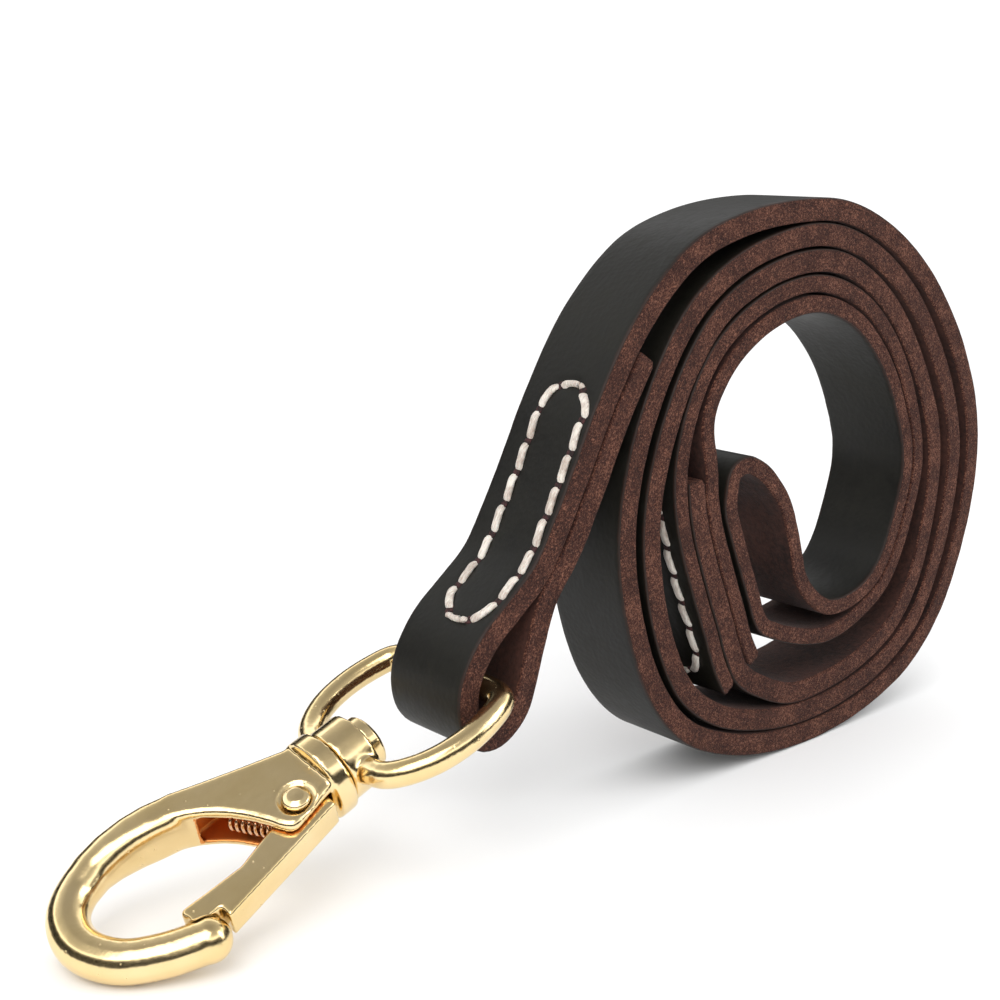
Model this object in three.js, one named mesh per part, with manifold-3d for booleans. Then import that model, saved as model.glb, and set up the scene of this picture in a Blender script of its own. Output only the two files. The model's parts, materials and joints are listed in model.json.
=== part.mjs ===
// Training leash: a leather strap wound into a coil that stands on its rim, with a sewn hand loop
// in the middle and a gold plated swivel snap hook on a ring at the outer end.
// Millimetres, +Z up. The coil's axis is +Y and the hook lies towards -X.
import * as THREE from 'three';
import { mergeVertices } from 'three/addons/utils/BufferGeometryUtils.js';
import Module from 'manifold-3d';

const wasm = await Module();
wasm.setup();

// Leather
const strapWidth = 19;
const strapThick = 4.5;
const handleThick = 3.5;
const turnGap = 0.45; // between two turns that touch
const plyGap = 0.35; // between two layers that are sewn together
const stepLength = 3.6; // of a strip's outline

// Coil: the rim of the outermost turn, as seen from the front
const coilRadius = 60.5;
const rimSwell = [0.8, 3.7, -0.9, 4.3, 2.7, 0.7, -4, -5.5]; // every 45 degrees clockwise from +X
const rightSlack = 2.6; // how far the turns stand apart at 3 o'clock
const leftSlack = 1.5; // and at 9 o'clock
const touchAngle = 110; // where the strap first touches the coil
const coilTurns = 2.58; // from there to the sewn joint

// Thread
const threadThick = 0.5;
const threadWide = 1.4;
const threadGap = 0.3;
const seamInset = 3.4; // from a strip's long edge to the seam
const hookSeam = { start: 3.5, length: 46 }; // from the ring's end of the outer layer
const tabSeam = { start: 4.5, length: 44 }; // from the strap's end behind it
const handleSeam = { start: 6, length: 40 }; // from the hand loop's outer cut end

// Ring with its hub
const wireRadius = 2.35;
const barClearance = 0.35; // leather around the ring's bar
const barAngle = 196.1; // the bar's place around the coil
const barStandOff = 31.1; // from the coil's outer turn to the bar's centre
const ringReach = 24.9; // hub centre to bar centre
const ringHalfWidth = 17.2;
const ringShift = 4; // the ring sits this far off the strap's middle
const barHalfLength = strapWidth / 2 + ringShift + 0.4;
const hubRadius = 6.7;
const hubLength = 6;

// Swivel stud
const studRadius = 3.1;
const studHeadRadius = 4.8;
const studHeadThick = 2.4;
const swivelClearance = 0.35;
const collarStart = -hubLength / 2 - swivelClearance;

// Hook body
const collarRadius = 7.5;
const collarLength = 3.4;
const collarEnd = collarStart - collarLength;
const bodyThick = 9.2;
const bowRadius = 3.5;
const bowReach = 51; // hub centre to the middle of the bow's far end
const noseRadius = 3.6;
const noseX = -36.8;
const noseY = -11;
const hookRoll = 18; // degrees about the swivel's axis
const restPoint = { back: 2.6, aside: 3.6 }; // where the bow's end stands on the ground
const edgeBevel = 1.1;

// Gate, its rivet and its spring
const gateThick = 5.4;
const gateClearance = 0.35;
const channelStart = collarEnd - 0.65;
const pivotX = -12.6;
const pivotY = -3.5;
const rivetRadius = 1.5;
const rivetHeadRadius = 2.5;
const rivetHeadThick = 1.1;
const dimpleRadius = 3.2;
const dimpleDepth = 0.5;
const springRadius = 1.5;
const springWire = 0.3;
const springTurns = 6;

const leather = new THREE.MeshStandardMaterial({ color: 0x2d2723, roughness: 0.5, metalness: 0 });
const waxedThread = new THREE.MeshStandardMaterial({ color: 0xd9cdbd, roughness: 0.6, metalness: 0 });
const goldPlate = new THREE.MeshStandardMaterial({ color: 0xd9b56b, roughness: 0.18, metalness: 1 });
const copperWire = new THREE.MeshStandardMaterial({ color: 0xb0683f, roughness: 0.3, metalness: 1 });

const radians = THREE.MathUtils.degToRad;

// ---- Solids and booleans ----

function toSolid(geometry) {
  const welded = mergeVertices(strip(geometry));
  const mesh = new wasm.Mesh({
    numProp: 3,
    vertProperties: new Float32Array(welded.attributes.position.array),
    triVerts: new Uint32Array(welded.index.array),
  });
  return new wasm.Manifold(mesh);
}

function strip(geometry) {
  const bare = geometry.clone();
  bare.deleteAttribute('normal');
  bare.deleteAttribute('uv');
  return bare;
}

function fromSolid(solid) {
  const mesh = solid.getMesh();
  const geometry = new THREE.BufferGeometry();
  geometry.setAttribute('position', new THREE.BufferAttribute(mesh.vertProperties, 3));
  geometry.setIndex(new THREE.BufferAttribute(mesh.triVerts, 1));
  geometry.computeVertexNormals();
  return geometry;
}

function named(name, geometry, material) {
  const mesh = new THREE.Mesh(geometry, material);
  mesh.name = name;
  return mesh;
}

// A bar of round section along +X, from one x to another.
function roundBar(radius, fromX, toX, sides = 32) {
  const bar = new THREE.CylinderGeometry(radius, radius, toX - fromX, sides);
  return bar.rotateZ(Math.PI / 2).translate((fromX + toX) / 2, 0, 0);
}

// A plate in the XY plane, centred on z = 0, its long edges eased by a bevel.
function plate(outline, thick, bevel = 0) {
  const geometry = new THREE.ExtrudeGeometry(outline, {
    depth: thick - 2 * bevel,
    bevelEnabled: bevel > 0,
    bevelThickness: bevel,
    bevelSize: bevel,
    bevelOffset: -bevel,
    bevelSegments: 2,
    curveSegments: 8,
  });
  return geometry.translate(0, 0, bevel - thick / 2);
}

function tube(path, radius, sides, steps) {
  const section = new THREE.Shape().absarc(0, 0, radius, 0, 2 * Math.PI);
  return new THREE.ExtrudeGeometry(section, { steps, curveSegments: sides / 2, extrudePath: path });
}

// ---- Coil layout, in the XZ plane with the coil's centre at the origin ----

const rim = new THREE.CatmullRomCurve3(
  rimSwell.map((swell, index) => polar(-45 * index, coilRadius + swell)),
  true,
);

function polar(degrees, radius) {
  return new THREE.Vector3(radius * Math.cos(radians(degrees)), 0, radius * Math.sin(radians(degrees)));
}

// A point at a depth inside the rim, or outside it where the depth is negative.
function atDepth(degrees, depth) {
  const point = rim.getPoint(THREE.MathUtils.euclideanModulo(-degrees / 360, 1));
  return point.setLength(point.length() - depth);
}

// Depth of the wound strap's outer face, for an angle that keeps counting down with every turn.
function turnDepth(degrees) {
  const cosine = Math.cos(radians(degrees));
  const slack = (cosine > 0 ? rightSlack : leftSlack) * cosine * cosine;
  return (strapThick + turnGap + slack) * (touchAngle - degrees) / 360;
}

// Rows steer a strand: the angle around the coil, then the gap to the wound strap next to it.
const tailRows = [[190, 29.3], [187.5, 23.1], [184.3, 16.8], [177.8, 12], [169.9, 8.8], [161.3, 7],
  [146.5, 5.3], [130, 3.9], [116, 2.1]];
const loopRows = [[238, 1.5], [230, 4.6], [218, 7.4], [202, 7], [186, 4.9], [170, 2.2], [155, 0.6],
  [138, 0.45], [116, 0.45], [94, 0.5], [70, 0.5], [45, 0.6], [22, 1.4], [0, 2.5], [-22, 4.3],
  [-45, 6.2], [-62, 6.5], [-79, 6.2], [-92, 7.4], [-104, 8.7]];
const jointRow = 5; // the sewn joint runs over the first rows, up to this one
const sideGaps = [4.9, 1.8, 1.3, 1.2, 1.2]; // between the joint's inner end and the strand beside it
const strandGaps = [1.4, 1.2, 0.8, 0.6, 0.6, 0.6, 0.5, 0.4, 0.4, 0.4, 0.6, 2.2, 4.6]; // after the joint
const bight = [[175, 0.985], [169.5, 0.97], [165.5, 0.9], [165, 0.79], [167.5, 0.65], [178, 0.5],
  [-161, 0.4], [-138, 0.42], [-117, 0.53], [-103, 0.74]]; // angle, share of the radius it hangs from
const foldRows = [[27, 3.2], [-30, 0.9], [-84, 2.3], [-124, 3.2], [-178, 2.1], [141, 2.5]]; // slack

function range(from, to, count) {
  return Array.from({ length: count + 1 }, (_, index) => from + (to - from) * index / count);
}

function smooth(points) {
  const curve = new THREE.CatmullRomCurve3(points);
  curve.arcLengthDivisions = 6000;
  return curve;
}

// A point moved off a curve to the right of its direction of travel, as seen from the front.
function offset(point, tangent, distance) {
  return new THREE.Vector3(tangent.z, 0, -tangent.x).multiplyScalar(distance).add(point);
}

function beside(curve, share, distance) {
  return offset(curve.getPointAt(share), curve.getTangentAt(share), distance);
}

// The same, at the place of one of the points that the curve was drawn through.
function besideRow(curve, row, distance) {
  const share = row / (curve.points.length - 1);
  return offset(curve.getPoint(share), curve.getTangent(share), distance);
}

const barCentre = atDepth(barAngle, turnDepth(barAngle - 360) - barStandOff);

const outerPly = smooth(tailRows.map(([degrees, gap]) => (
  atDepth(degrees, turnDepth(degrees - 360) - gap - strapThick / 2)
)));

// The hand loop's outer strand lies inside the wound strap, two whole turns in.
const outerStrand = smooth(loopRows.map(([degrees, gap]) => (
  atDepth(degrees, turnDepth(degrees - 720) + strapThick + gap + handleThick / 2)
)));
const jointSpacing = handleThick / 2 + plyGap + strapThick / 2;

function strapRoute() {
  const plySpacing = strapThick + plyGap;
  const innerPly = range(0.62, 0.14, 6).map((share) => beside(outerPly, share, plySpacing));
  const fold = foldRows.map(([degrees, slack]) => (
    polar(degrees, wireRadius + barClearance + strapThick / 2 + slack).add(barCentre)
  ));
  const coil = range(touchAngle - 10, touchAngle - 360 * coilTurns, 60).map((degrees) => (
    atDepth(degrees, turnDepth(degrees) + strapThick / 2)
  ));
  const sewnEnd = range(0, jointRow - 0.2, 8).map((row) => besideRow(outerStrand, row, jointSpacing));
  return smooth([...innerPly, ...fold, ...outerPly.points, ...coil, ...sewnEnd]);
}

function handleRoute() {
  const endSpacing = 2 * jointSpacing;
  const innerEnd = range(jointRow, 0, 8).map((row) => besideRow(outerStrand, row, endSpacing));
  const innerSide = sideGaps.map((gap, row) => (
    besideRow(outerStrand, row, endSpacing + handleThick + gap)
  ));
  const hangRadius = innerSide.at(-1).length();
  const loop = bight.map(([degrees, share]) => polar(degrees, share * hangRadius));
  const innerStrand = strandGaps.map((gap, index) => (
    besideRow(outerStrand, jointRow + 1 + index, handleThick + gap)
  ));
  return smooth([...outerStrand.points, ...innerSide, ...loop, ...innerStrand.reverse(), ...innerEnd]);
}

const strapCurve = strapRoute();
const handleCurve = handleRoute();

// A flat strip of leather on edge: the route thickened to both sides and drawn out along +Y.
function leatherStrip(curve, thick) {
  const shares = range(0, 1, Math.round(curve.getLength() / stepLength));
  const right = shares.map((share) => beside(curve, share, thick / 2));
  const left = shares.map((share) => beside(curve, share, -thick / 2));
  const outline = [...right, ...left.reverse()].map((point) => new THREE.Vector2(point.x, point.z));
  const geometry = new THREE.ExtrudeGeometry(new THREE.Shape(outline), {
    depth: strapWidth,
    bevelEnabled: false,
  });
  return geometry.rotateX(Math.PI / 2).translate(0, strapWidth / 2, 0);
}

// A long oval with round ends, its length along X.
function oval(length, width) {
  const run = (length - width) / 2;
  const path = new THREE.Path();
  path.moveTo(-run, -width / 2);
  path.lineTo(run, -width / 2);
  path.absarc(run, 0, width / 2, -Math.PI / 2, Math.PI / 2);
  path.lineTo(-run, width / 2);
  path.absarc(-run, 0, width / 2, Math.PI / 2, 3 * Math.PI / 2);
  return path;
}

// A seam on one face of a strip: a ring of thread drawn out into an oval and bent to the face.
// side is 1 for the face to the right of the curve and -1 for the other face.
function seam(curve, { start, length }, side, faceDistance) {
  const path = oval(length - threadWide, strapWidth - 2 * seamInset);
  const geometry = mergeVertices(strip(new THREE.TorusGeometry(1, 0.5, 4, 60)));
  const place = geometry.attributes.position;
  for (let index = 0; index < place.count; index += 1) {
    const x = place.getX(index);
    const y = place.getY(index);
    const turn = THREE.MathUtils.euclideanModulo(Math.atan2(y, x) / (2 * Math.PI), 1);
    const middle = path.getPointAt(turn);
    const tangent = path.getTangentAt(turn);
    const out = (Math.hypot(x, y) - 1) * threadWide;
    const along = middle.x + tangent.y * out;
    const across = middle.y - tangent.x * out;
    const height = (place.getZ(index) + 0.5) * threadThick;
    const point = beside(curve, (start + length / 2 + along) / curve.getLength(),
      side * (faceDistance + threadGap + height));
    place.setXYZ(index, point.x, -side * across, point.z);
  }
  geometry.computeVertexNormals();
  return geometry;
}

// ---- Metal parts: in these, +X runs from the hook to the strap, and the hub's centre is the origin ----

// The ring: round wire out of the hub, round one side, along the straight bar and back.
function swivelRing() {
  const side = [[0, hubRadius - 1.6], [0, hubRadius + 1], [0.6, ringHalfWidth - 6.6],
    [3.2, ringHalfWidth - 3.6], [ringReach - 17, ringHalfWidth - 1], [ringReach - 11, ringHalfWidth],
    [ringReach - 5.2, ringHalfWidth - 0.7], [ringReach - 1.2, barHalfLength + 1],
    [ringReach, barHalfLength - 1.5], [ringReach, 5]];
  const far = side.map(([x, y]) => new THREE.Vector3(x, y, 0));
  const near = side.map(([x, y]) => new THREE.Vector3(x, -y, 0)).reverse();
  const wire = toSolid(tube(new THREE.CatmullRomCurve3([...far, ...near]), wireRadius, 12, 72));
  const hub = toSolid(roundBar(hubRadius, -hubLength / 2, hubLength / 2));
  const bore = toSolid(roundBar(studRadius + swivelClearance, -hubLength, hubLength));
  return fromSolid(wire.add(hub).subtract(bore));
}

// The stud that the hook turns on: a round head inside the ring, and a shank into the collar.
function swivelStud() {
  const headStart = hubLength / 2 + swivelClearance;
  const profile = [[0, collarEnd + 0.6], [studRadius, collarEnd + 0.6], [studRadius, headStart],
    [studHeadRadius, headStart], [studHeadRadius, headStart + studHeadThick - 0.6],
    [studHeadRadius - 0.8, headStart + studHeadThick], [0, headStart + studHeadThick]];
  const points = profile.map(([radius, x]) => new THREE.Vector2(radius, x));
  return new THREE.LatheGeometry(points, 32).rotateZ(-Math.PI / 2);
}

// The side plate's outline: the snap hook's neck and the two cheeks that hold the gate.
function cheekOutline() {
  const shape = new THREE.Shape();
  shape.moveTo(collarEnd + 1, -5.6);
  shape.lineTo(collarEnd + 1, 5.6);
  shape.bezierCurveTo(-14, 8.6, -20, 11, -26, 13.6);
  shape.lineTo(-31, 14.2);
  shape.lineTo(-31, 9.6);
  shape.bezierCurveTo(-24, 6.6, -21, 2, -18.4, -4);
  shape.quadraticCurveTo(-17.4, -7.6, -15.6, -7.7);
  return shape;
}

// The hollow between the cheeks, for the gate's tail and its spring.
function channelOutline() {
  const shape = new THREE.Shape();
  shape.moveTo(channelStart, -12);
  shape.lineTo(channelStart, -1.2);
  shape.bezierCurveTo(-11, 3, -16, 7.4, -21.5, 8.6);
  shape.lineTo(-25.4, 8.6);
  shape.lineTo(-25.4, -12);
  return shape;
}

// The hook's bow: round bar from the cheeks, round the far end and back to the nose.
function bowPath() {
  const far = -bowReach;
  return new THREE.CatmullRomCurve3([[-25.5, 10.4], [-31, 12], [far + 13.5, 13.2], [far + 7, 12.2],
    [far + 1.8, 8.8], [far, 3], [far + 2.6, -3.6], [far + 8, -8], [far + 14.2, noseY],
  ].map(([x, y]) => new THREE.Vector3(x, y, 0)));
}

function hookBody() {
  const collar = toSolid(roundBar(collarRadius, collarEnd, collarStart));
  const cheeks = toSolid(plate(cheekOutline(), bodyThick, edgeBevel));
  const bow = toSolid(tube(bowPath(), bowRadius, 14, 40));
  const nose = toSolid(new THREE.SphereGeometry(noseRadius, 20, 14).translate(noseX, noseY, 0));
  const channel = toSolid(plate(channelOutline(), gateThick + 2 * gateClearance));
  const studHole = toSolid(roundBar(studRadius + swivelClearance, collarEnd + 0.2, 0));
  const rivetHole = toSolid(pivotPin(rivetRadius + gateClearance, bodyThick + 2));
  const dimples = [-1, 1].map((side) => toSolid(
    pivotPin(dimpleRadius, 2 * dimpleDepth).translate(0, 0, side * bodyThick / 2),
  ));
  const whole = collar.add(cheeks).add(bow).add(nose);
  return fromSolid(dimples.reduce((solid, dimple) => solid.subtract(dimple),
    whole.subtract(channel).subtract(studHole).subtract(rivetHole)));
}

// A pin through the cheeks at the gate's pivot.
function pivotPin(radius, length) {
  return new THREE.CylinderGeometry(radius, radius, length, 24).rotateX(Math.PI / 2)
    .translate(pivotX, pivotY, 0);
}

function gateSolid() {
  const tail = channelStart - gateClearance - 0.3;
  const noseTop = noseY + noseRadius + gateClearance;
  const lip = noseX + noseRadius + gateClearance;
  const tip = noseX - 0.3;
  const shape = new THREE.Shape();
  shape.moveTo(tail, -7.7);
  shape.lineTo(lip, noseY - 0.7);
  shape.lineTo(lip, noseTop);
  shape.lineTo(tip, noseTop);
  shape.quadraticCurveTo(tip - 1.2, noseTop + 1, tip, noseTop + 1.9);
  shape.quadraticCurveTo(noseX + 5, noseTop + 1.6, -26, -5.6);
  shape.lineTo(-18, -3.4);
  shape.quadraticCurveTo(pivotX - 2, pivotY + 3, pivotX, pivotY + 2.9);
  shape.quadraticCurveTo(tail, pivotY + 2.6, tail, -5.4);
  const bar = toSolid(plate(shape, gateThick, 0.5));
  return fromSolid(bar.subtract(toSolid(pivotPin(rivetRadius + gateClearance, gateThick + 2))));
}

// The gate's rivet: a pin with a low domed head on each cheek.
function gateRivet() {
  const seat = bodyThick / 2 - dimpleDepth + gateClearance;
  const top = seat + rivetHeadThick;
  const half = [[rivetRadius, seat], [rivetHeadRadius, seat], [rivetHeadRadius * 0.9, seat + 0.5],
    [rivetHeadRadius * 0.55, top - 0.15], [0, top]];
  const points = [...half.map(([r, z]) => [r, -z]).reverse(), ...half]
    .map(([radius, z]) => new THREE.Vector2(radius, z));
  return new THREE.LatheGeometry(points, 24).rotateX(Math.PI / 2).translate(pivotX, pivotY, 0);
}

// The gate's spring: a coil between the back of the channel and the gate's inner face.
function gateSpring() {
  const start = new THREE.Vector3(-20.6, 4.4, 0);
  const along = new THREE.Vector3(-17.2, -2, 0).sub(start);
  const across = new THREE.Vector3(-along.y, along.x, 0).normalize().multiplyScalar(springRadius);
  const helix = new THREE.CatmullRomCurve3(range(0, springTurns, springTurns * 10).map((turn) => (
    start.clone().addScaledVector(along, turn / springTurns)
      .addScaledVector(across, Math.cos(2 * Math.PI * turn))
      .add(new THREE.Vector3(0, 0, springRadius * Math.sin(2 * Math.PI * turn)))
  )));
  return tube(helix, springWire, 6, springTurns * 12);
}

// ---- Assembly ----

const leashStrap = leatherStrip(strapCurve, strapThick);
leashStrap.computeBoundingBox();

// The hook hangs from the ring's bar and rests on the ground with the near side of its bow's end.
const drop = barCentre.z - leashStrap.boundingBox.min.z - bowRadius;
const reach = ringReach + bowReach - restPoint.back;
const sideDrop = restPoint.aside * Math.sin(radians(hookRoll));
const pitch = Math.asin(drop / Math.hypot(reach, sideDrop)) - Math.atan2(sideDrop, reach);

const group = new THREE.Group();
group.add(
  named('leash_strap', leashStrap, leather),
  named('handle_strap', leatherStrip(handleCurve, handleThick), leather),
  named('hook_seam_front', seam(outerPly, hookSeam, -1, strapThick / 2), waxedThread),
  named('hook_seam_back', seam(strapCurve, tabSeam, -1, strapThick / 2), waxedThread),
  named('handle_seam_front', seam(outerStrand, handleSeam, -1, handleThick / 2), waxedThread),
  named('handle_seam_back', seam(outerStrand, handleSeam, 1, 2 * jointSpacing + handleThick / 2),
    waxedThread),
);

const ring = new THREE.Group();
ring.position.set(-ringReach * Math.cos(pitch), ringShift, -ringReach * Math.sin(pitch)).add(barCentre);
ring.rotation.y = -pitch;
ring.add(named('swivel_ring', swivelRing(), goldPlate));

const hook = new THREE.Group();
hook.rotation.x = radians(hookRoll);
hook.add(
  named('swivel_stud', swivelStud(), goldPlate),
  named('hook_body', hookBody(), goldPlate),
  named('gate', gateSolid(), goldPlate),
  named('gate_rivet', gateRivet(), goldPlate),
  named('gate_spring', gateSpring(), copperWire),
);
ring.add(hook);
group.add(ring);

// The origin is the middle of the whole leash's footprint, on the ground.
const box = new THREE.Box3().setFromObject(group, true);
const centre = box.getCenter(new THREE.Vector3());
group.position.set(-centre.x, -centre.y, -box.min.z);

export default group;
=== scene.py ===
import json
from math import cos, sin, pi, radians, tau

import bmesh
import bpy
import numpy as np
from mathutils import Matrix, Vector, noise


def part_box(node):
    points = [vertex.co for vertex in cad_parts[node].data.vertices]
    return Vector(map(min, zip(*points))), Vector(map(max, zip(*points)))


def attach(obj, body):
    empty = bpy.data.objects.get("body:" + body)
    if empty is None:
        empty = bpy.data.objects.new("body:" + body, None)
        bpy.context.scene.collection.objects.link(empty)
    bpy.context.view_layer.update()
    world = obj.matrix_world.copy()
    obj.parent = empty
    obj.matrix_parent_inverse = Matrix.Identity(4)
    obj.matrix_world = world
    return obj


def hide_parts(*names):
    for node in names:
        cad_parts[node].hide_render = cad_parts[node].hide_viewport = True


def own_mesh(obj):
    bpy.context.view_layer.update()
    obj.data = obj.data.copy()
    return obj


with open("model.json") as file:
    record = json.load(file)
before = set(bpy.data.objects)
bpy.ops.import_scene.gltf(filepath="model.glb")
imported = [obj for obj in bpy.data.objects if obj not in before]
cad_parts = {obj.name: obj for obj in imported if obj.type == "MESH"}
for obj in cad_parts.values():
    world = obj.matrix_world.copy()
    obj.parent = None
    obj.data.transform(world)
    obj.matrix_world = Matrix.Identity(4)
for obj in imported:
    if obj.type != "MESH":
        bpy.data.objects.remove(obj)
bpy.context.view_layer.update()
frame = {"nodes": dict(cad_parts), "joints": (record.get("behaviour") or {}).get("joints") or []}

mm = 0.001
weld = 0.002 * mm # points of a CAD mesh that are nearer than this are one point
joints = {joint["name"]: joint for joint in frame["joints"]}

cameraSet = {
    "place": (-0.19377, -0.19361, 0.12239),
    "looks": (0.6422, 0.7315, -0.2290),
    "lens": 53.9,
    "sensor": 36,
    "near": 0.01,
}


def addAimed(name, data, place, looks):
    # a camera or a lamp that looks along a direction
    made = bpy.data.objects.new(name, data)
    made.location = place
    made.rotation_mode = "QUATERNION"
    made.rotation_quaternion = Vector(looks).to_track_quat("-Z", "Y")
    bpy.context.scene.collection.objects.link(made)
    return made


def addCamera():
    data = bpy.data.cameras.new("camera")
    data.lens = cameraSet["lens"]
    data.sensor_width = cameraSet["sensor"]
    data.clip_start = cameraSet["near"]
    bpy.context.scene.camera = addAimed("camera", data, cameraSet["place"], cameraSet["looks"])


addCamera()
print("camera set")


class Wire:
    # a socket that can stand in an expression
    def __init__(self, finish, socket):
        self.finish = finish
        self.socket = socket

    def __add__(self, other):
        return self.finish.sum("ADD", self, other)

    def __sub__(self, other):
        return self.finish.sum("SUBTRACT", self, other)

    def __rsub__(self, other):
        return self.finish.sum("SUBTRACT", other, self)

    def __mul__(self, other):
        return self.finish.sum("MULTIPLY", self, other)

    __radd__ = __add__
    __rmul__ = __mul__


def fillRamp(ramp, stops):
    while len(ramp.elements) < len(stops):
        ramp.elements.new(0.5)
    for element, (place, colour) in zip(ramp.elements, stops):
        element.position = place
        element.color = (*colour, 1)


class Finish:
    # a material, and the one place where its nodes are made
    def __init__(self, name):
        self.material = bpy.data.materials.new(name)
        self.material.use_nodes = True
        self.tree = self.material.node_tree
        self.shader = self.tree.nodes["Principled BSDF"]

    def node(self, kind, settings=None, values=None, out=0):
        made = self.tree.nodes.new(kind)
        for name, setting in (settings or {}).items():
            if name == "stops":
                fillRamp(made.color_ramp, setting)
            else:
                setattr(made, name, setting)
        for name, value in (values or {}).items():
            self.feed(made.inputs[name], value)
        return Wire(self, made.outputs[out])

    def feed(self, socket, value):
        if isinstance(value, Wire):
            self.tree.links.new(value.socket, socket)
        elif socket.type == "RGBA" and len(value) == 3:
            socket.default_value = (*value, 1)
        else:
            socket.default_value = value

    def sum(self, operation, first, second):
        return self.node("ShaderNodeMath", {"operation": operation}, {0: first, 1: second})

    def clamped(self, value, low, high):
        # 0 below low, 1 above high, straight between
        return self.node("ShaderNodeMapRange", {"clamp": True},
                         {"Value": value, "From Min": low, "From Max": high})

    def blend(self, share, first, second):
        return self.node("ShaderNodeMix", {"data_type": "RGBA"}, {0: share, 6: first, 7: second}, out=2)

    def objectPlace(self):
        return self.node("ShaderNodeTexCoord", out=3)

    def stripPlace(self):
        return self.node("ShaderNodeUVMap", {"uv_map": "strip"})

    def stretched(self, place, scale):
        return self.node("ShaderNodeMapping", None, {"Vector": place, "Scale": scale})

    def noise(self, place, scale, detail=3, roughness=0.5, distortion=0):
        return self.node("ShaderNodeTexNoise", None, {
            "Vector": place, "Scale": scale, "Detail": detail, "Roughness": roughness,
            "Distortion": distortion})

    def cells(self, place, scale):
        return self.node("ShaderNodeTexVoronoi", None, {"Vector": place, "Scale": scale})

    def carried(self, name):
        # a number that the mesh carries at its points
        return self.node("ShaderNodeAttribute", {"attribute_name": name}, out=2)

    def bump(self, height, depth, strength):
        return self.node("ShaderNodeBump", None, {
            "Height": height, "Distance": depth, "Strength": strength})

    def surface(self, **values):
        for name, value in values.items():
            self.feed(self.shader.inputs[name.replace("_", " ")], value)
        return self.material


leatherSet = {
    "grainDark": (0.0030, 0.0026, 0.0017),
    "grainLight": (0.0118, 0.0108, 0.0072),
    "grainWorn": (0.050, 0.018, 0.012), # along the corners
    "pores": 900,
    "grainDepth": 0.12 * mm,
    "edgeDark": (0.004, 0.0010, 0.0009),
    "edgeMiddle": (0.056, 0.0150, 0.0092),
    "edgeLight": (0.36, 0.150, 0.092),
    "edgeSkin": (0.03, 0.011, 0.008), # the line where the cut meets the grain
    "speckle": 3220,
    "strands": 2240,
    "edgeDepth": 0.9 * mm,
    "fleshDark": (0.012, 0.0040, 0.0028),
    "fleshLight": (0.075, 0.026, 0.017),
    "nap": 900,
    "napDepth": 0.25 * mm,
}


def grainFinish():
    finish = Finish("waxed leather grain")
    place = finish.objectPlace()
    cloud = finish.noise(place, 38, 4, 0.6)
    fine = finish.noise(place, 420, 4, 0.65)
    pores = finish.cells(place, leatherSet["pores"])
    creases = finish.noise(finish.stretched(place, (1, 2.2, 1)), 160, 5, 0.6, 0.8)
    tone = finish.clamped(cloud * 0.75 + fine * 0.35, 0.38, 0.78)
    colour = finish.blend(tone, leatherSet["grainDark"], leatherSet["grainLight"])
    worn = 1 - finish.clamped(finish.carried("fromEdge") + fine * mm, 0.5 * mm, 1.2 * mm)
    colour = finish.blend(worn * 0.6, colour, leatherSet["grainWorn"])
    height = pores * 0.45 + creases * 0.8 + fine * 0.35
    return finish.surface(
        Base_Color=colour,
        Roughness=finish.clamped(cloud, 0.2, 0.8) * 0.14 + fine * 0.16 + 0.36,
        Specular_IOR_Level=0.28,
        Normal=finish.bump(height, leatherSet["grainDepth"], 0.55),
    )


def edgeFinish():
    finish = Finish("raw leather edge")
    place = finish.objectPlace()
    drawn = finish.stretched(finish.stripPlace(), (0.6, 1, 1)) # fibres lie along the strip
    speckle = finish.noise(place, leatherSet["speckle"], 3, 0.8)
    strands = finish.noise(drawn, leatherSet["strands"], 3, 0.75, 1.8)
    patches = finish.noise(place, 150, 3, 0.6)
    tone = speckle * 0.6 + strands * 0.55 + patches * 0.22
    colour = finish.node("ShaderNodeValToRGB", {"stops": [
        (0.52, leatherSet["edgeDark"]), (0.69, leatherSet["edgeMiddle"]),
        (0.87, leatherSet["edgeLight"])]}, {"Fac": tone})
    nearGrain = finish.carried("fromGrain") + speckle * (0.4 * mm)
    skin = 1 - finish.clamped(nearGrain, 0.35 * mm, 0.8 * mm)
    colour = finish.blend(skin * 0.55, colour, leatherSet["edgeSkin"])
    height = speckle * 0.6 + strands * 0.6 + patches * 0.5
    return finish.surface(
        Base_Color=colour,
        Roughness=0.92,
        Specular_IOR_Level=0.25,
        Sheen_Weight=0.05,
        Sheen_Roughness=0.5,
        Sheen_Tint=(0.9, 0.62, 0.5),
        Normal=finish.bump(height, leatherSet["edgeDepth"], 1),
    )


def fleshFinish():
    finish = Finish("leather flesh side")
    place = finish.objectPlace()
    nap = finish.noise(place, leatherSet["nap"], 5, 0.75)
    cloud = finish.noise(place, 60, 3, 0.5)
    colour = finish.blend(finish.clamped(nap * 0.6 + cloud * 0.5, 0.4, 0.75),
                          leatherSet["fleshDark"], leatherSet["fleshLight"])
    return finish.surface(
        Base_Color=colour,
        Roughness=0.82,
        Specular_IOR_Level=0.3,
        Sheen_Weight=0.04,
        Sheen_Roughness=0.5,
        Normal=finish.bump(nap, leatherSet["napDepth"], 0.8),
    )


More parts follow.
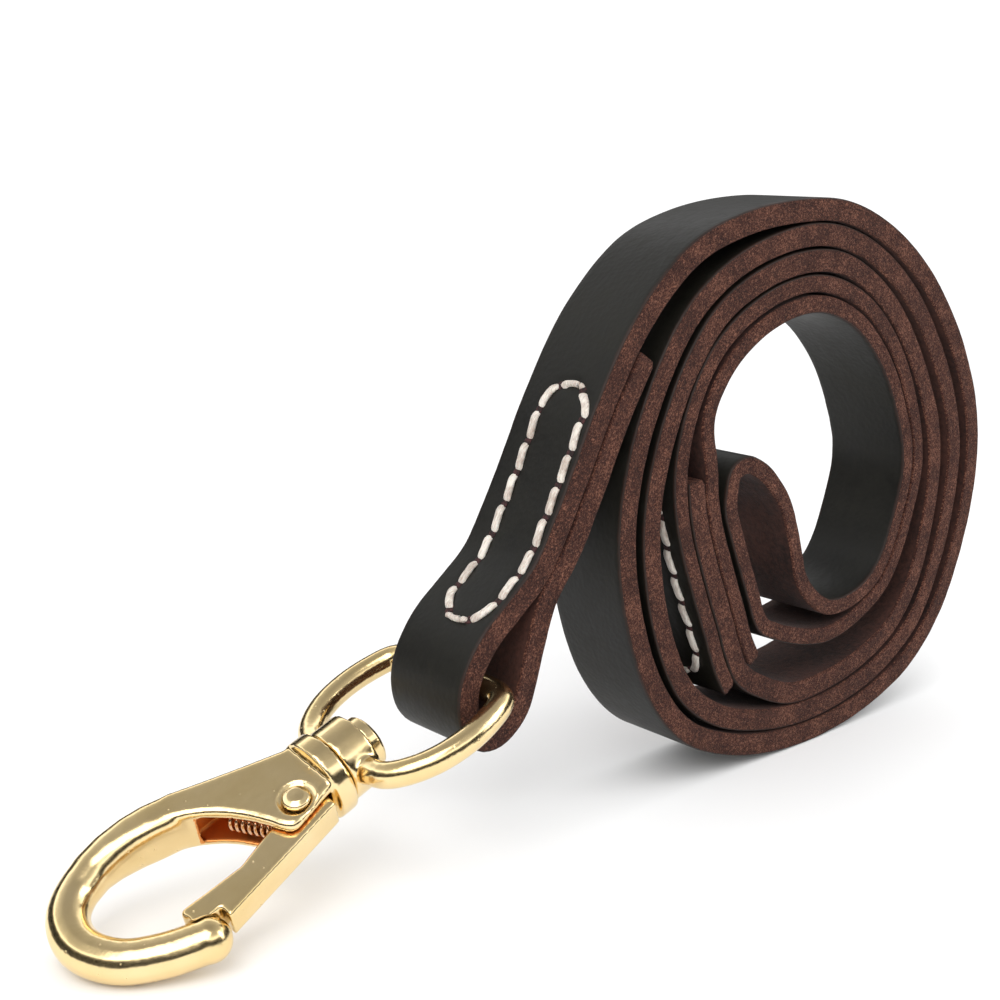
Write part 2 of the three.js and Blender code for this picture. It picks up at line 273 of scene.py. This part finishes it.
threadSet = {
    "light": (0.70, 0.65, 0.58),
    "stained": (0.36, 0.28, 0.23), # where leather dye has come off on it
    "holeDark": (0.010, 0.003, 0.003),
    "holeLight": (0.075, 0.018, 0.018),
    "radius": 0.82 * mm,
    "flat": 0.62, # its width as a share of its height
    "pitch": 5.98 * mm,
    "lift": 0.14 * mm,
    "dive": 1.0 * mm,
    "twist": 4.2 * mm, # length of one turn of its strands
    "strands": 5,
    "strandDepth": 0.06, # as a share of the radius
    "slant": 0.45 * mm,
    "rows": 17,
    "ring": 12,
    "holesAt": (0.015, 0.985), # shares of the stitch's length
    "holeRadius": 0.85 * mm,
    "holeHeight": 0.26 * mm,
    "holeSunk": 0.12 * mm,
}


def threadFinish():
    finish = Finish("waxed thread")
    place = finish.objectPlace()
    fuzz = finish.noise(place, 1600, 4, 0.7)
    stain = finish.noise(place, 240, 3, 0.6)
    streaks = finish.noise(finish.stretched(place, (1, 5, 1)), 900, 3, 0.6)
    colour = finish.blend(finish.clamped(stain * 0.5 + streaks * 0.5, 0.42, 0.62),
                          threadSet["light"], threadSet["stained"])
    return finish.surface(
        Base_Color=colour,
        Roughness=fuzz * 0.25 + 0.4,
        Specular_IOR_Level=0.5,
        Sheen_Weight=0.2,
        Subsurface_Weight=0.05,
        Subsurface_Scale=0.5 * mm,
        Normal=finish.bump(fuzz, 0.1 * mm, 0.6),
    )


def needleHoleFinish():
    finish = Finish("needle hole")
    fibre = finish.noise(finish.objectPlace(), 1200, 4, 0.7)
    colour = finish.blend(finish.clamped(fibre, 0.4, 0.7), threadSet["holeDark"], threadSet["holeLight"])
    return finish.surface(Base_Color=colour, Roughness=0.8, Normal=finish.bump(fibre, 0.2 * mm, 0.8))


def goldFinish(name, colour, roughness, ripple):
    # plated metal: it ripples and pits a little, and is worn dull in places
    finish = Finish(name)
    place = finish.objectPlace()
    cloud = finish.noise(place, 55, 4, 0.6)
    fine = finish.noise(place, 900, 4, 0.7)
    worn = finish.clamped(finish.noise(place, 150, 5, 0.7), 0.60, 0.75)
    pitted = 1 - finish.clamped(finish.cells(place, 420), 0.04, 0.10)
    deep = (colour[0] * 0.78, colour[1] * 0.72, colour[2] * 0.48)
    tone = finish.blend(finish.clamped(cloud, 0.35, 0.75) * 0.6, colour, deep)
    waves = finish.noise(place, 190, 3, 0.5) + finish.noise(place, 70, 2, 0.4) * 1.6
    height = waves * ripple + fine * 0.1 - pitted * 0.4
    return finish.surface(
        Base_Color=tone,
        Metallic=1,
        Roughness=worn * 0.08 + fine * 0.09 + pitted * 0.2 + roughness,
        Normal=finish.bump(height, 0.1 * mm, 0.7),
    )


finishes = {
    "grain": grainFinish(),
    "edge": edgeFinish(),
    "flesh": fleshFinish(),
    "thread": threadFinish(),
    "hole": needleHoleFinish(),
    "gold": goldFinish("polished gold plate", (0.92, 0.72, 0.40), 0.15, 1.8),
    # a darker, more orange gold that is put on the hollow behind the gate
    "goldInside": goldFinish("darker orange gold plate", (0.80, 0.33, 0.10), 0.34, 2.0),
    "spring": goldFinish("coppered spring wire", (0.80, 0.50, 0.33), 0.16, 0.5),
}
print("finishes made")


def addPiece(name, work, materials, body):
    mesh = bpy.data.meshes.new(name)
    work.to_mesh(mesh)
    work.free()
    piece = bpy.data.objects.new(name, mesh)
    bpy.context.scene.collection.objects.link(piece)
    for material in materials:
        mesh.materials.append(finishes[material])
    mesh.shade_smooth()
    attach(piece, body)
    return piece


def closest(point, first, last):
    # the place on a straight line that is nearest to a point
    run = last - first
    share = max(0, min(1, (point - first).dot(run) / max(run.length_squared, 1e-18)))
    return first + run * share


def wrapped(work, rows, ring, place):
    # a grid rolled into a tube: place(row, column) puts each point
    grid = {}
    for vert in bmesh.ops.create_grid(work, x_segments=rows - 1, y_segments=ring, size=0.5)["verts"]:
        grid[vert] = (round((vert.co.x + 0.5) * (rows - 1)), round((vert.co.y + 0.5) * ring))
    for vert, (row, column) in grid.items():
        vert.co = place(row, column % ring)
    return grid


def closeTubes(work):
    # joins the long sides of every rolled grid and fills its ends
    bmesh.ops.remove_doubles(work, verts=work.verts, dist=0.0001 * mm)
    bmesh.ops.holes_fill(work, edges=[edge for edge in work.edges if edge.is_boundary], sides=0)
    bmesh.ops.recalc_face_normals(work, faces=work.faces)


class Route:
    # a smooth line in the coil's plane, walked by distance in metres
    def __init__(self, points, step=0.4 * mm):
        points = np.array(points)
        chord = np.linalg.norm(np.diff(points, axis=0), axis=1)
        knots = np.concatenate([[0], np.cumsum(chord)])
        slopes = np.gradient(points, knots, axis=0, edge_order=2)
        fine = np.arange(0, knots[-1], step)
        place = np.clip(np.searchsorted(knots, fine, side="right") - 1, 0, len(chord) - 1)
        width = chord[place][:, None]
        share = ((fine - knots[place]) / chord[place])[:, None]
        squared, cubed = share ** 2, share ** 3
        line = ((2 * cubed - 3 * squared + 1) * points[place]
                + (cubed - 2 * squared + share) * width * slopes[place]
                + (3 * squared - 2 * cubed) * points[place + 1]
                + (cubed - squared) * width * slopes[place + 1])
        self.line = np.vstack([line, points[-1]])
        walked = np.linalg.norm(np.diff(self.line, axis=0), axis=1)
        self.walked = np.concatenate([[0], np.cumsum(walked)])
        self.length = float(self.walked[-1])
        self.slope = np.gradient(self.line, self.walked, axis=0)

    def at(self, distance):
        # the place, and the way to the right of the travel as seen from the front
        x, z = (float(np.interp(distance, self.walked, self.line[:, axis])) for axis in (0, 1))
        dx, dz = (float(np.interp(distance, self.walked, self.slope[:, axis])) for axis in (0, 1))
        return Vector((x, 0, z)), Vector((dz, 0, -dx)).normalized()

    def point(self, distance, outwards, y):
        # outwards is to the left of the travel, where the grain side is
        place, right = self.at(distance)
        return place - right * outwards + Vector((0, y, 0))


def frontOutline(node):
    # the points round the front face of a strip's CAD solid, in order
    work = bmesh.new()
    work.from_mesh(frame["nodes"][node].data)
    bmesh.ops.remove_doubles(work, verts=work.verts, dist=weld)
    front = min(vert.co.y for vert in work.verts) + 0.01 * mm
    facing = {face for face in work.faces if all(vert.co.y < front for vert in face.verts)}
    beside = {}
    for edge in work.edges:
        if sum(face in facing for face in edge.link_faces) == 1:
            for vert in edge.verts:
                beside.setdefault(vert, []).append(edge.other_vert(vert))
    before = None
    here = next(iter(beside))
    loop = [here]
    while True:
        onward = [vert for vert in beside[here] if vert is not before][0]
        if onward is loop[0]:
            break
        loop.append(onward)
        before, here = here, onward
    points = [Vector((vert.co.x, vert.co.z)) for vert in loop]
    work.free()
    return points


def cornerPlaces(points):
    # where a closed outline turns sharply
    places = []
    for index, point in enumerate(points):
        into = point - points[index - 1]
        out = points[(index + 1) % len(points)] - point
        if into.length > 1e-9 and out.length > 1e-9 and into.angle(out) > radians(60):
            places.append(index)
    return places


def stripRoute(node):
    # the middle line of a strip, halfway between the long sides of its outline
    points = frontOutline(node)
    corners = cornerPlaces(points)
    assert len(corners) == 4, f"{node}: {len(corners)} corners"
    sides = []
    for first, last in zip(corners, corners[1:] + corners[:1]):
        last = last if last > first else last + len(points)
        sides.append([points[index % len(points)] for index in range(first, last + 1)])
    sides.sort(key=len)
    left, right = (side if side[0].x <= side[-1].x else side[::-1] for side in sides[2:])
    travel = left[1] - left[0]
    if (right[0] - left[0]).dot(Vector((travel.y, -travel.x))) < 0:
        left, right = right, left
    window = 8 # looks no further than the same turn of the coil
    middle = []
    for index, point in enumerate(left):
        level = round(index * (len(right) - 1) / (len(left) - 1))
        facing = right[max(0, level - window):level + window + 1]
        nearest = min((closest(point, first, last) for first, last in zip(facing, facing[1:])),
                      key=lambda spot: (spot - point).length)
        middle.append((point + nearest) / 2)
    return Route(middle)


class Strip:
    # a strip of leather and the line it follows
    def __init__(self, node, thick):
        low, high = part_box(node)
        self.node = node
        self.thick = thick
        self.width = high[1] - low[1]
        self.middle = (high[1] + low[1]) / 2
        self.route = stripRoute(node)


leashSet = {
    "leashThick": 4.5 * mm,
    "handleThick": 3.5 * mm,
    "grainCorner": 0.5 * mm,
    "fleshCorner": 0.4 * mm,
    "acrossGrain": 20, # faces over each side of the section
    "acrossEdge": 6,
    "acrossFlesh": 8,
    "step": 1.0 * mm,
    "endInset": 0.35 * mm,
    "edgeFuzz": 0.09 * mm,
    "fuzzReach": 0.6 * mm,
    "fuzzCoarse": 260,
    "fuzzFine": 900,
    "dish": 0.10 * mm,
}
seamSet = {
    "wide": 11.1 * mm,
    "shift": -1.65 * mm, # the hook's seam is sewn off the strap's middle
    "hookStart": 16 * mm, # past the ring's bar
    "hookLength": 47.6 * mm,
    "tabStart": 4.5 * mm,
    "tabLength": 42 * mm,
    "handleStart": 4.5 * mm,
    "handleLength": 40 * mm,
    "pressDepth": 0.22 * mm,
    "pressReach": 0.9 * mm,
}


class Seam:
    # a long oval of stitches on a strip
    def __init__(self, start, length, shift):
        self.centre = start + length / 2
        self.shift = shift
        self.wide = seamSet["wide"]
        self.run = length - self.wide
        self.bend = pi * self.wide / 2
        self.whole = 2 * (self.run + self.bend)

    def at(self, distance):
        # the place along and across from the oval's middle, and the heading
        half = self.wide / 2
        distance %= self.whole
        if distance < self.run:
            return -self.run / 2 + distance, -half, 0
        distance -= self.run
        if distance < self.bend:
            turn = distance / self.bend * pi
            return self.run / 2 + half * sin(turn), -half * cos(turn), turn
        distance -= self.bend
        if distance < self.run:
            return self.run / 2 - distance, half, pi
        turn = (distance - self.run) / self.bend * pi
        return -self.run / 2 - half * sin(turn), half * cos(turn), pi + turn

    def pressed(self, distance, across):
        # 1 on the seam's line, falling to 0 beside it
        beyond = max(0, abs(distance - self.centre) - self.run / 2)
        away = abs(np.hypot(beyond, across - self.shift) - self.wide / 2)
        return float(np.exp(-(away / seamSet["pressReach"]) ** 2))


grainSide, cutSide, fleshSide = 0, 1, 2


def spread(first, last, count):
    # even steps from first to last
    return [first + (last - first) * index / count for index in range(count + 1)]


def sectionPoints(thick, width):
    # round the strip's section: (outwards, along Y, side), from the grain's front corner
    half, wide = thick / 2, width / 2
    soft, sharp = leashSet["grainCorner"], leashSet["fleshCorner"]
    nick = sharp * 0.3
    corner = [(soft * cos(turn), soft * sin(turn)) for turn in (radians(30), radians(60))]
    cut = spread(half - soft, -half + sharp, leashSet["acrossEdge"])
    points = [(half, y, grainSide) for y in spread(-wide + soft, wide - soft, leashSet["acrossGrain"])]
    points += [(half - soft + out, wide - soft + aside, grainSide) for out, aside in corner]
    points += [(out, wide, cutSide) for out in cut]
    points.append((-half + nick, wide - nick, cutSide))
    points += [(-half, y, fleshSide) for y in spread(wide - sharp, -wide + sharp, leashSet["acrossFlesh"])]
    points.append((-half + nick, -wide + nick, cutSide))
    points += [(out, -wide, cutSide) for out in reversed(cut)]
    points += [(half - soft + out, -wide + soft - aside, grainSide) for out, aside in reversed(corner)]
    return points


def leatherStrip(name, strip, seams):
    thick, width, route = strip.thick, strip.width, strip.route
    section = sectionPoints(thick, width)
    rows = int(route.length / leashSet["step"]) + 1
    work = bmesh.new()
    stripMap = work.loops.layers.uv.new("strip")
    fromEdge = work.verts.layers.float.new("fromEdge")
    fromGrain = work.verts.layers.float.new("fromGrain")

    def place(row, column):
        inset = leashSet["endInset"] if row in (0, rows - 1) else 0
        distance = route.length * row / (rows - 1)
        outwards, y, _ = section[column]
        outwards *= 1 - inset / thick * 2
        y *= 1 - inset / width * 2
        spot = route.point(distance, outwards, strip.middle + y)
        wander = noise.noise(spot * leashSet["fuzzCoarse"])
        wander += 0.6 * noise.noise(spot * leashSet["fuzzFine"])
        edgeShare = max(0, 1 - (width / 2 - abs(y)) / leashSet["fuzzReach"])
        spot.y += (1 if y > 0 else -1) * wander * leashSet["edgeFuzz"] * edgeShare
        if outwards > 0:
            dish = leashSet["dish"] * noise.noise(Vector((distance * 45, y * 60, thick * 900)))
            for seam in seams:
                dish -= seamSet["pressDepth"] * seam.pressed(distance, y)
            spot = spot - route.at(distance)[1] * dish * outwards / (thick / 2)
        return spot

    grid = wrapped(work, rows, len(section), place)
    for face in work.faces:
        kinds = [section[grid[vert][1] % len(section)][2] for vert in face.verts]
        face.material_index = cutSide if kinds.count(cutSide) >= 2 else max(kinds)
        for loop in face.loops:
            row, column = grid[loop.vert]
            outwards, y, _ = section[column % len(section)]
            across = outwards if face.material_index == cutSide else y
            loop[stripMap].uv = (route.length * row / (rows - 1), across)
    for vert, (row, column) in grid.items():
        outwards, y, _ = section[column % len(section)]
        vert[fromEdge] = width / 2 - abs(y) + (thick / 2 - outwards)
        vert[fromGrain] = thick / 2 - outwards
    closeTubes(work)
    for face in work.faces:
        if len(face.verts) > 4: # the two cut ends
            face.material_index = cutSide
    piece = addPiece(name, work, ("grain", "edge", "flesh"), "strap")
    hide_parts(strip.node)
    return piece


def addStitch(work, strip, seam, begin, reach, lean):
    # one twisted thread that comes out of the leather and dives back into it
    rows, ring = threadSet["rows"], threadSet["ring"]

    def core(share):
        along, across, heading = seam.at(begin + reach * share)
        sideways = lean * (share - 0.5) * 2
        along -= sin(heading) * sideways
        across += cos(heading) * sideways
        arch = 1 - (2 * share - 1) ** 4
        height = threadSet["lift"] * arch - threadSet["dive"] * (1 - arch)
        return strip.route.point(seam.centre + along, strip.thick / 2 + height,
                                 strip.middle + seam.shift + across)

    spots = [core(row / (rows - 1)) for row in range(rows)]

    def place(row, column):
        ahead = (spots[min(row + 1, rows - 1)] - spots[max(row - 1, 0)]).normalized()
        upright = abs(ahead.y) > 0.95
        across = (ahead.orthogonal() if upright else ahead.cross(Vector((0, 1, 0)))).normalized()
        turn = tau * column / ring
        share = row / (rows - 1)
        strand = cos(threadSet["strands"] * turn - tau * share * reach / threadSet["twist"])
        swell = threadSet["radius"] * (1 + threadSet["strandDepth"] * strand)
        swell *= 0.25 + 0.75 * min(1, 4.5 * min(share, 1 - share) + 0.35) # thinner at the needle holes
        around = across * cos(turn) * threadSet["flat"] + ahead.cross(across) * sin(turn)
        return spots[row] + around * swell

    wrapped(work, rows, ring, place)


def addHole(holes, strip, seam, distance):
    # the dark pulled leather round a needle hole
    along, across, _ = seam.at(distance)
    spot = strip.route.point(seam.centre + along, strip.thick / 2 - threadSet["holeSunk"],
                             strip.middle + seam.shift + across)
    _, right = strip.route.at(seam.centre + along)
    turned = (-right).to_track_quat("Z", "Y").to_matrix().to_4x4()
    radius = threadSet["holeRadius"]
    flattened = Matrix.Diagonal((radius, radius, threadSet["holeHeight"], 1))
    shape = Matrix.Translation(spot) @ turned @ flattened
    bmesh.ops.create_uvsphere(holes, u_segments=12, v_segments=6, radius=1, matrix=shape)


def stitchRow(name, node, strip, seam):
    count = round(seam.whole / threadSet["pitch"])
    reach = seam.whole / count
    length = seam.run + seam.wide
    work = bmesh.new()
    holes = bmesh.new()
    for stitch in range(count):
        begin = seam.whole * stitch / count
        lean = threadSet["slant"] * (0.7 + 0.6 * noise.noise(Vector((stitch * 3.1, length * 90, 0))))
        addStitch(work, strip, seam, begin, reach, lean)
        for end in threadSet["holesAt"]:
            addHole(holes, strip, seam, begin + reach * end)
    closeTubes(work)
    piece = addPiece(name, work, ("thread",), "strap")
    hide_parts(node)
    return [piece, addPiece(name + "Holes", holes, ("hole",), "strap")]


hub = Vector(joints["hook_swivel"]["pos_m"])
leashStrip = Strip("leash_strap", leashSet["leashThick"])
handleStrip = Strip("handle_strap", leashSet["handleThick"])
print("routes", round(leashStrip.route.length, 4), round(handleStrip.route.length, 4))


def barPlace():
    # how far along the leash it comes round the ring's bar: where it is nearest to the ring's hub
    line = leashStrip.route.line
    away = np.hypot(line[:, 0] - hub.x, line[:, 1] - hub.z)
    return float(leashStrip.route.walked[int(np.argmin(away))])


def lastStart():
    # where the seam on the hand loop's second end begins
    return handleStrip.route.length - seamSet["handleStart"] - seamSet["handleLength"]


hookSeam = Seam(barPlace() + seamSet["hookStart"], seamSet["hookLength"], seamSet["shift"])
tabSeam = Seam(seamSet["tabStart"], seamSet["tabLength"], seamSet["shift"])
handleSeam = Seam(seamSet["handleStart"], seamSet["handleLength"], 0)
backSeam = Seam(lastStart(), seamSet["handleLength"], 0)

leash = leatherStrip("leashStrap", leashStrip, [hookSeam, tabSeam])
handle = leatherStrip("handleStrap", handleStrip, [handleSeam, backSeam])
print("strips made")

leashStitches = (stitchRow("hookStitchesFront", "hook_seam_front", leashStrip, hookSeam)
                 + stitchRow("hookStitchesBack", "hook_seam_back", leashStrip, tabSeam))
handleStitches = (stitchRow("handleStitchesFront", "handle_seam_front", handleStrip, handleSeam)
                  + stitchRow("handleStitchesBack", "handle_seam_back", handleStrip, backSeam))
print("stitches made")


castSet = {
    # voxel, smoothing passes, body, name
    "hook_body": (0.28 * mm, 16, "hook", "hookBody"),
    "swivel_ring": (0.30 * mm, 16, "ring", "swivelRing"),
    "gate": (0.22 * mm, 14, "gate", "hookGate"),
    "swivel_stud": (0.20 * mm, 8, "hook", "swivelStud"),
    "gate_rivet": (0.12 * mm, 12, "hook", "gateRivet"),
}
gateSet = {
    # in the hook's own millimetres: along, aside and up
    "seatLow": (-37.3, -9.3, -2.7), # the metal added where the gate meets the nose
    "seatHigh": (-31.9, -6.2, 2.7),
    "nose": (-36.8, -11),
    "noseBack": (-42, -8.8),
    "seatRadius": 3.78,
}
channelSet = {
    # the hollow behind the gate, which is given a darker, more orange gold, in the hook's own millimetres;
    # the box reaches through the wall, so a patch on the outside of the hook's back gets the darker orange
    # gold too
    "along": (-25.9, -9.5),
    "aside": (-12, 9.3),
    "up": (-3.25, 3.25),
}
neckSet = {
    # where the cheeks run out into the bow, in the hook's own millimetres: along, aside,
    # half the width, half the thickness and how square it is
    "places": [(-26.2, 10.6, 3.5, 4.6, 3.4), (-31, 12, 3.6, 4.7, 3.2), (-34.5, 12.8, 3.6, 4.5, 2.8),
               (-38.5, 13.15, 3.56, 4.1, 2.4), (-42, 12.8, 3.52, 3.7, 2.1), (-45, 11.7, 3.45, 3.45, 2)],
    "ring": 32,
}
springSet = {
    # in the hook's own millimetres, from the back of the channel to the gate's shoulder
    "start": (-20.6, 4.4),
    "end": (-17.2, -2),
    "radius": 1.5,
    "wire": 0.32,
    "turns": 6.5,
    "rowsPerTurn": 14,
    "ring": 10,
    "squeezed": 0.6, # share of its length that is left with the gate open
}

swivelAxis = Vector(joints["hook_swivel"]["axis"]).normalized()
hookUp = -Vector(joints["gate_pivot"]["axis"]).normalized()
hookFrame = Matrix((swivelAxis, hookUp.cross(swivelAxis), hookUp)).transposed()


def inHook(spot):
    # from the hook's own millimetres, which start at the ring's hub
    return hub + hookFrame @ (Vector(spot) * mm)


def fromHook(spot):
    return hookFrame.transposed() @ (spot - hub) / mm


def addNeck(work):
    # a tapered bar that joins the cheeks to the bow without a step
    places = neckSet["places"]

    def rounded(value, square):
        return (1 if value > 0 else -1) * abs(value) ** (2 / square)

    def place(row, column):
        along, aside, wide, thick, square = places[row]
        before, after = places[max(row - 1, 0)], places[min(row + 1, len(places) - 1)]
        ahead = Vector((after[0] - before[0], after[1] - before[1])).normalized()
        turn = tau * column / neckSet["ring"]
        out = wide * rounded(cos(turn), square)
        up = thick * rounded(sin(turn), square)
        return inHook((along - ahead.y * out, aside + ahead.x * out, up))

    wrapped(work, len(places), neckSet["ring"], place)
    closeTubes(work)


def addSeat(work):
    # more metal at the gate's end, which is then shaped round the nose
    corners = gateSet["seatLow"], gateSet["seatHigh"]
    for vert in bmesh.ops.create_cube(work, size=1)["verts"]:
        vert.co = inHook([corners[vert.co[axis] > 0][axis] for axis in range(3)])
    bmesh.ops.recalc_face_normals(work, faces=work.faces)


def shapeSeat(mesh):
    # what would cut into the nose is pushed back onto its surface
    first, last = (Vector((*gateSet[name], 0)) for name in ("nose", "noseBack"))
    for vert in mesh.vertices:
        spot = fromHook(vert.co)
        nearest = closest(spot, first, last)
        away = spot - nearest
        if 0 < away.length < gateSet["seatRadius"]:
            vert.co = inHook(nearest + away.normalized() * gateSet["seatRadius"])


def paintChannel(mesh):
    # faces inside the box round the hollow behind the gate get the darker orange gold
    bounds = [channelSet[name] for name in ("along", "aside", "up")]
    for face in mesh.polygons:
        if all(low < value < high for value, (low, high) in zip(fromHook(face.center), bounds)):
            face.material_index = 1


def castPiece(node):
    # the CAD solid as a casting: its facets and sharp corners are melted away
    voxel, passes, body, name = castSet[node]
    work = bmesh.new()
    if node == "hook_body":
        addNeck(work)
    if node == "gate":
        addSeat(work)
    work.from_mesh(frame["nodes"][node].data)
    bmesh.ops.remove_doubles(work, verts=work.verts, dist=weld)
    piece = addPiece(name, work, ("gold", "goldInside"), body)
    remesh = piece.modifiers.new("remesh", "REMESH")
    remesh.mode = "VOXEL"
    remesh.voxel_size = voxel
    melt = piece.modifiers.new("melt", "SMOOTH")
    melt.factor = 0.5
    melt.iterations = passes
    graph = bpy.context.evaluated_depsgraph_get()
    mesh = bpy.data.meshes.new_from_object(piece.evaluated_get(graph))
    piece.modifiers.clear()
    piece.data = mesh
    if node == "gate":
        shapeSeat(mesh)
    if node == "hook_body":
        paintChannel(mesh)
    mesh.shade_smooth()
    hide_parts(node)
    print(node, len(mesh.polygons))


def gateSpring():
    start, end = (Vector((*springSet[name], 0)) for name in ("start", "end"))
    run = end - start
    across = Vector((-run.y, run.x, 0)).normalized()
    rows = int(springSet["turns"] * springSet["rowsPerTurn"])
    work = bmesh.new()

    def middle(row):
        return start + run * row / (rows - 1)

    def core(row):
        turn = tau * springSet["turns"] * row / (rows - 1)
        return middle(row) + (across * cos(turn) + Vector((0, 0, 1)) * sin(turn)) * springSet["radius"]

    def place(row, column):
        ahead = (core(row + 1) - core(row - 1)).normalized()
        out = (core(row) - middle(row)).normalized()
        turn = tau * column / springSet["ring"]
        return inHook(core(row) + (out * cos(turn) + ahead.cross(out) * sin(turn)) * springSet["wire"])

    wrapped(work, rows, springSet["ring"], place)
    closeTubes(work)
    piece = addPiece("gateSpring", work, ("spring",), "hook")
    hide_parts("gate_spring")
    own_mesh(piece)


for node in castSet:
    castPiece(node)
gateSpring()
print("metal made")


stageSet = {
    "floor": 0.6,
    "white": (0.90, 0.90, 0.90),
    "target": (0, 0, 0.05),
    # place, size and power of each lamp
    "key": ((-0.45, -0.25, 0.60), (0.5, 0.5), 2.2),
    "rim": ((0.45, -0.55, 0.45), (0.25, 0.6), 1.4),
    "daylight": 1.12, # what the floor and the leather get from all round
    # what polished metal sees, from straight below to straight above
    "studio": [(0.0, 0.10), (0.50, 0.010), (0.66, 0.012), (0.71, 0.35), (0.77, 2.1), (0.86, 0.62),
               (1.0, 0.34)],
}


def addFloor():
    work = bmesh.new()
    bmesh.ops.create_grid(work, x_segments=1, y_segments=1, size=stageSet["floor"])
    mesh = bpy.data.meshes.new("floor")
    work.to_mesh(mesh)
    work.free()
    floor = bpy.data.objects.new("floor", mesh)
    bpy.context.scene.collection.objects.link(floor)
    finish = Finish("pale floor")
    mesh.materials.append(finish.surface(Base_Color=stageSet["white"], Roughness=0.8,
                                         Specular_IOR_Level=0.1))


def addLamp(name):
    place, size, power = stageSet[name]
    data = bpy.data.lights.new(name, "AREA")
    data.shape = "RECTANGLE"
    data.size, data.size_y = size
    data.energy = power
    addAimed(name, data, place, Vector(stageSet["target"]) - Vector(place))


def addSky():
    # even white light, but polished metal sees a bright ceiling over a dim room
    world = bpy.data.worlds.new("studio")
    bpy.context.scene.world = world
    world.use_nodes = True
    nodes, link = world.node_tree.nodes, world.node_tree.links.new
    even = nodes["Background"]
    even.inputs[0].default_value = (1, 1, 1, 1)
    even.inputs[1].default_value = stageSet["daylight"]
    place = nodes.new("ShaderNodeTexCoord")
    apart = nodes.new("ShaderNodeSeparateXYZ")
    level = nodes.new("ShaderNodeMapRange")
    level.inputs["From Min"].default_value = -1
    ramp = nodes.new("ShaderNodeValToRGB")
    fillRamp(ramp.color_ramp, [(height, (glow, glow, glow)) for height, glow in stageSet["studio"]])
    room = nodes.new("ShaderNodeBackground")
    path = nodes.new("ShaderNodeLightPath")
    choice = nodes.new("ShaderNodeMixShader")
    link(place.outputs["Generated"], apart.inputs[0])
    link(apart.outputs["Z"], level.inputs["Value"])
    link(level.outputs[0], ramp.inputs[0])
    link(ramp.outputs[0], room.inputs[0])
    link(path.outputs["Is Glossy Ray"], choice.inputs[0])
    link(even.outputs[0], choice.inputs[1])
    link(room.outputs[0], choice.inputs[2])
    link(choice.outputs[0], nodes["World Output"].inputs[0])


addFloor()
addSky()
addLamp("key")
addLamp("rim")
bpy.context.scene.view_settings.view_transform = "Standard"
print("stage set")
